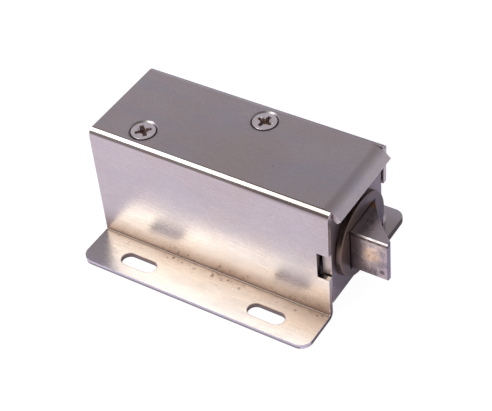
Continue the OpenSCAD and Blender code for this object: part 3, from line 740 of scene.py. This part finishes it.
def makePlastic(name):
    look, wear = plasticLooks[name], plasticWear
    made, tree, shader, place = newMaterial(name, boltAxis)
    skin = grainAt(tree, place, look["stretch"], look["fineness"])
    dusty = patchesAt(tree, place, *wear["dust"])
    base = blendTone(tree, times(tree, dusty, wear["dustShare"]), look["tone"], look["dirt"])
    dress(tree, shader, base, roughen(tree, skin, look))
    shader.inputs["Coat Weight"].default_value = look["coat"]
    bumpUp(tree, shader, skin, wear["bumpStrength"], look["bump"])
    return made


materials = {"nickelSheet": makeNickelSheet(), "boltMetal": makeBoltMetal(), "enamelledCopper": makeWinding(),
             "coverScrew": makeCoverScrew(), "bushFace": makeBushFace()}
for name in metalLooks:
    materials[name] = makeMetal(name)
for name in turnedLooks:
    materials[name] = makeTurned(name)
for name in plasticLooks:
    materials[name] = makePlastic(name)
print("materials made:", len(materials))

# Pieces whose solids are right but for their knife-sharp edges: a merged copy gets them rounded.
# round is in mm, and only edges that turn by more than sharpFrom degrees are rounded.
# rimRound is for a screw head's outer rim, which is rounded first
roundedPieces = {
    "foldedCover": {"node": "housing_cover", "body": "housing", "slot": "nickel_sheet",
                    "material": "nickelSheet", "round": 0.15, "segments": 3, "sharpFrom": 32},
    "rearScrew": {"node": "rear_cover_screw", "body": "housing", "slot": "cover_screw",
                  "material": "coverScrew", "round": 0.06, "segments": 2, "sharpFrom": 32, "rimRound": 0.14},
    "frontScrew": {"node": "front_cover_screw", "body": "housing", "slot": "cover_screw",
                   "material": "coverScrew", "round": 0.06, "segments": 2, "sharpFrom": 32, "rimRound": 0.14},
    "ironYoke": {"node": "yoke_frame", "body": "housing", "slot": "frame_iron",
                 "material": "yokeIron", "round": 0.14, "segments": 2, "sharpFrom": 32},
    "fluxPlate": {"node": "flux_plate", "body": "housing", "slot": "frame_iron",
                  "material": "yokeIron", "round": 0.1, "segments": 2, "sharpFrom": 32},
    "guideBush": {"node": "guide_bush", "body": "housing", "slot": "bush_metal",
                  "material": "bushFace", "round": 0.22, "segments": 3, "sharpFrom": 32},
    "latchBolt": {"node": "latch_bolt", "body": "bolt", "slot": "bolt_metal",
                  "material": "boltMetal", "round": 0.16, "segments": 3, "sharpFrom": 20},
    "slidingPlunger": {"node": "plunger", "body": "bolt", "slot": "core_steel",
                       "material": "coreSteel", "round": 0.15, "segments": 2, "sharpFrom": 32},
    "coilBobbin": {"node": "coil_bobbin", "body": "housing", "slot": "bobbin_plastic",
                   "material": "bobbinNylon", "round": 0.12, "segments": 2, "sharpFrom": 32},
    "coreScrew": {"node": "core_screw", "body": "housing", "slot": "core_screw_steel",
                  "material": "screwSteel", "round": 0.08, "segments": 2, "sharpFrom": 32},
}

# Lengths in mm and angles in degrees. rimReach is a share of the head's width
rounding = {"mergeWithin": 0.0001, "flatWithin": 0.5, "rimReach": 0.47, "rimSegments": 3}


def findSharp(shape, sharpFrom):
    turn = math.radians(sharpFrom)
    return [e for e in shape.edges if len(e.link_faces) == 2 and e.calc_face_angle() > turn]


def bevelEdges(shape, edges, width, segments):
    bmesh.ops.bevel(shape, geom=edges, offset=width * mm, offset_type="OFFSET", affect="EDGES",
                    segments=segments, profile=0.5, material=-1, clamp_overlap=True)


def roundEdges(pieceName, look):
    shape = bmesh.new()
    shape.from_mesh(nodes[look["node"]].data)
    bmesh.ops.remove_doubles(shape, verts=shape.verts, dist=rounding["mergeWithin"] * mm)
    bmesh.ops.dissolve_limit(shape, angle_limit=math.radians(rounding["flatWithin"]), verts=shape.verts,
                             edges=shape.edges)
    if "rimRound" in look:
        low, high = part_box(look["node"])
        centre, reach = (low + high) / 2, rounding["rimReach"] * (high.x - low.x)
        rim = [e for e in findSharp(shape, look["sharpFrom"])
               if all((v.co.xy - centre.xy).length > reach for v in e.verts)]
        bevelEdges(shape, rim, look["rimRound"], rounding["rimSegments"])
    bevelEdges(shape, findSharp(shape, look["sharpFrom"]), look["round"], look["segments"])
    mesh = bpy.data.meshes.new(pieceName)
    shape.to_mesh(mesh)
    shape.free()
    mesh.materials.clear()
    mesh.materials.append(materials[look["material"]])
    mesh.polygons.foreach_set("use_smooth", [True] * len(mesh.polygons))
    mesh.polygons.foreach_set("material_index", [0] * len(mesh.polygons))
    piece = bpy.data.objects.new(pieceName, mesh)
    bpy.context.scene.collection.objects.link(piece)
    weighted = piece.modifiers.new("flatFacesStayFlat", "WEIGHTED_NORMAL")
    weighted.weight = 100
    weighted.keep_sharp = False
    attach(piece, look["body"])
    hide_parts(look["node"])


for name, look in roundedPieces.items():
    roundEdges(name, look)
print("pieces with rounded edges:", len(roundedPieces))

# The return spring: closed end turns and open ones between, in mm. fit keeps the wire just inside the solid's
springWire = {"wireRadius": 0.35, "coilRadius": 5.9, "turns": 8, "stepsPerTurn": 40, "wireSides": 14,
              "fit": 0.98}


def makeSpring():
    look = springWire
    low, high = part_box("return_spring")
    endTurn = 2 * look["wireRadius"] * look["fit"] * mm
    openTurns = look["turns"] - 2
    openTurn = (high.x - low.x - 2 * look["wireRadius"] * mm - 2 * endTurn) / openTurns
    shape = bmesh.new()
    ring = bmesh.ops.create_circle(shape, cap_ends=False, segments=look["wireSides"],
                                   radius=look["wireRadius"] * look["fit"] * mm)["verts"]
    bmesh.ops.rotate(shape, verts=ring, cent=(0, 0, 0), matrix=Matrix.Rotation(math.radians(90), 3, "Z"))
    place = Vector((low.x + look["wireRadius"] * mm, look["coilRadius"] * mm, axisHeight))
    bmesh.ops.translate(shape, verts=ring, vec=place)
    last = list(shape.verts) + list(shape.edges)
    for turns, rise in ((1, endTurn), (openTurns, openTurn), (1, endTurn)):
        steps = turns * look["stepsPerTurn"]
        made = bmesh.ops.spin(shape, geom=last, cent=boltAxis, axis=(1, 0, 0), steps=steps,
                              angle=math.radians(360) * turns, dvec=(rise * turns / steps, 0, 0),
                              use_merge=False)
        last = made["geom_last"]
    bmesh.ops.remove_doubles(shape, verts=shape.verts, dist=0.001 * mm)
    ends = [e for e in shape.edges if e.is_boundary]
    bmesh.ops.edgeloop_fill(shape, edges=ends)
    bmesh.ops.recalc_face_normals(shape, faces=shape.faces)
    for face in shape.faces:
        face.smooth = len(face.verts) == 4
    mesh = bpy.data.meshes.new("returnSpring")
    shape.to_mesh(mesh)
    shape.free()
    mesh.materials.append(materials["springWire"])
    piece = bpy.data.objects.new("returnSpring", mesh)
    bpy.context.scene.collection.objects.link(piece)
    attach(piece, "housing")
    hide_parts("return_spring")
    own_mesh(piece)


makeSpring()
print("spring made")

# Solids that show as they are
keptNodes = {"coil_winding": "enamelledCopper", "coil_wrap": "wrapTape", "near_terminal": "terminalTin",
             "far_terminal": "terminalTin", "guide_tube": "tubeBrass", "pole_core": "coreSteel",
             "core_washer": "screwSteel", "residual_washer": "shimPlastic", "bolt_pin": "pinSteel",
             "spring_washer": "pinSteel", "damping_washer": "damperRubber"}
for name, material in keptNodes.items():
    for slot in nodes[name].material_slots:
        slot.material = materials[material]
print("kept nodes dressed:", len(keptNodes))

# The floor and the world: white to the camera, and a plain studio to the metal.
# The floor's white stops under the cover, which would otherwise glow through the notches
studio = {"floorSize": 3.0, "paper": tone(0.85, 0.84, 0.85), "mirrored": tone(1.02, 0.95, 1.16),
          "seenWhite": 0.82, "mirroredWhite": 0.1, "brightness": 1.16, "dark": (0.021, 0.0112),
          "near": 0.09, "far": 0.2, "dim": tone(0.30, 0.27, 0.30), "dimFront": (-0.35, -0.6),
          "dimUpTo": (0.4, 0.3), "plain": tone(0.97, 0.96, 1.0), "plainLight": 0.5}


def mixShaders(tree, share, under, over):
    return addNode(tree, "ShaderNodeMixShader", {0: share, 1: under, 2: over}).outputs[0]


# Rays from the camera itself, or through something clear
def seenDirectly(tree, rays):
    return calc(tree, "MAXIMUM", rays["Is Camera Ray"], rays["Is Transmission Ray"])


def makeFloor():
    shape = bmesh.new()
    bmesh.ops.create_grid(shape, x_segments=1, y_segments=1, size=studio["floorSize"] / 2)
    mesh = bpy.data.meshes.new("floor")
    shape.to_mesh(mesh)
    shape.free()
    floor = bpy.data.objects.new("floor", mesh)
    bpy.context.scene.collection.objects.link(floor)
    made = bpy.data.materials.new("paleFloor")
    made.use_nodes = True
    tree = made.node_tree
    tree.nodes.remove(tree.nodes["Principled BSDF"])
    rays = tree.nodes.new("ShaderNodeLightPath").outputs
    place = tree.nodes.new("ShaderNodeTexCoord").outputs["Object"]
    away = spread(tree, vectorCalc(tree, "LENGTH", place), studio["near"], studio["far"])
    mirrored = blendTone(tree, away, studio["mirrored"], studio["dim"])
    colour = blendTone(tree, rays["Is Glossy Ray"], studio["paper"], mirrored)
    glow = blendTone(tree, rays["Is Glossy Ray"], tone(1, 1, 1), mirrored)
    paper = addNode(tree, "ShaderNodeBsdfDiffuse", {"Color": colour}).outputs[0]
    white = addNode(tree, "ShaderNodeEmission", {"Color": glow, "Strength": studio["brightness"]}).outputs[0]
    share = calc(tree, "MAXIMUM", times(tree, seenDirectly(tree, rays), studio["seenWhite"]),
                 times(tree, rays["Is Glossy Ray"], studio["mirroredWhite"]))
    x, y, _ = splitUp(tree, place)
    outside = calc(tree, "MAXIMUM", above(tree, unsigned(tree, x), studio["dark"][0]),
                   above(tree, unsigned(tree, y), studio["dark"][1]))
    both = mixShaders(tree, times(tree, share, outside), paper, white)
    tree.links.new(both, tree.nodes["Material Output"].inputs["Surface"])
    mesh.materials.append(made)
    floor.location = (0, 0, coverLow.z)


# What the metal sees of the room, by height above the horizon: bright near it, dim overhead
roomTones = [(0.0, tone(0.70, 0.66, 0.76)), (0.25, tone(0.60, 0.57, 0.70)), (0.43, tone(0.53, 0.51, 0.64)),
             (0.60, tone(0.42, 0.39, 0.47)), (0.68, tone(0.37, 0.34, 0.41)), (0.79, tone(0.27, 0.245, 0.29)),
             (0.90, tone(0.17, 0.15, 0.17)), (1.0, tone(0.12, 0.11, 0.12))]


def background(tree, colour, strength=1.0):
    return addNode(tree, "ShaderNodeBackground", {"Color": colour, "Strength": strength}).outputs[0]


def makeWorld():
    world = bpy.data.worlds.new("studioRoom")
    world.use_nodes = True
    bpy.context.scene.world = world
    tree = world.node_tree
    tree.nodes.clear()
    _, y, up = splitUp(tree, tree.nodes.new("ShaderNodeTexCoord").outputs["Generated"])
    ramp = addNode(tree, "ShaderNodeValToRGB", {0: up})
    steps = ramp.color_ramp.elements
    steps[0].position, steps[0].color = roomTones[0]
    steps[1].position, steps[1].color = roomTones[-1]
    for at, colour in roomTones[1:-1]:
        steps.new(at).color = colour
    rays = tree.nodes.new("ShaderNodeLightPath").outputs
    dim = times(tree, spread(tree, y, *studio["dimFront"]), spread(tree, up, *studio["dimUpTo"]))
    seen = blendTone(tree, dim, ramp.outputs[0], studio["dim"])
    plain = background(tree, studio["plain"], studio["plainLight"])
    lit = mixShaders(tree, rays["Is Glossy Ray"], plain, background(tree, seen))
    shown = mixShaders(tree, seenDirectly(tree, rays), lit, background(tree, tone(1, 1, 1)))
    addNode(tree, "ShaderNodeOutputWorld", {"Surface": shown})


# One soft lamp. towards is the direction from the object to the lamp
softbox = {"towards": (-0.43, -0.59, 0.68), "distance": 0.6, "width": 0.44, "height": 0.44, "watts": 2.0,
           "tone": (0.97, 0.98, 1.0)}


def makeSoftbox():
    look = softbox
    lamp = bpy.data.lights.new("keySoftbox", "AREA")
    lamp.shape = "RECTANGLE"
    lamp.size, lamp.size_y = look["width"], look["height"]
    lamp.energy = look["watts"]
    lamp.color = look["tone"]
    holder = bpy.data.objects.new("keySoftbox", lamp)
    bpy.context.scene.collection.objects.link(holder)
    towards = Vector(look["towards"]).normalized()
    holder.location = towards * look["distance"] + boltAxis
    holder.rotation_euler = towards.to_track_quat("Z", "Y").to_euler()


makeFloor()
makeWorld()
makeSoftbox()
print("studio made")

# The camera, fitted to the photograph's straight edges. place and clip are in metres, lens and sensor in mm
photoCamera = {"place": (0.12668, -0.17456, 0.21027), "looks": (-0.42776, 0.59393, -0.68137),
               "right": (0.84854, 0.52360, -0.07630), "lens": 105.16, "sensor": 36.0, "clip": (0.01, 20)}


def makeCamera():
    look = photoCamera
    camera = bpy.data.cameras.new("photoCamera")
    camera.lens, camera.sensor_width, camera.sensor_fit = look["lens"], look["sensor"], "HORIZONTAL"
    camera.clip_start, camera.clip_end = look["clip"]
    back = -Vector(look["looks"]).normalized()
    right = Vector(look["right"]).normalized()
    up = back.cross(right).normalized()
    turn = Matrix((right, up, back)).transposed().to_4x4()
    holder = bpy.data.objects.new("photoCamera", camera)
    bpy.context.scene.collection.objects.link(holder)
    holder.matrix_world = Matrix.Translation(look["place"]) @ turn
    bpy.context.scene.camera = holder


makeCamera()
bpy.context.scene.view_settings.view_transform = "Standard"
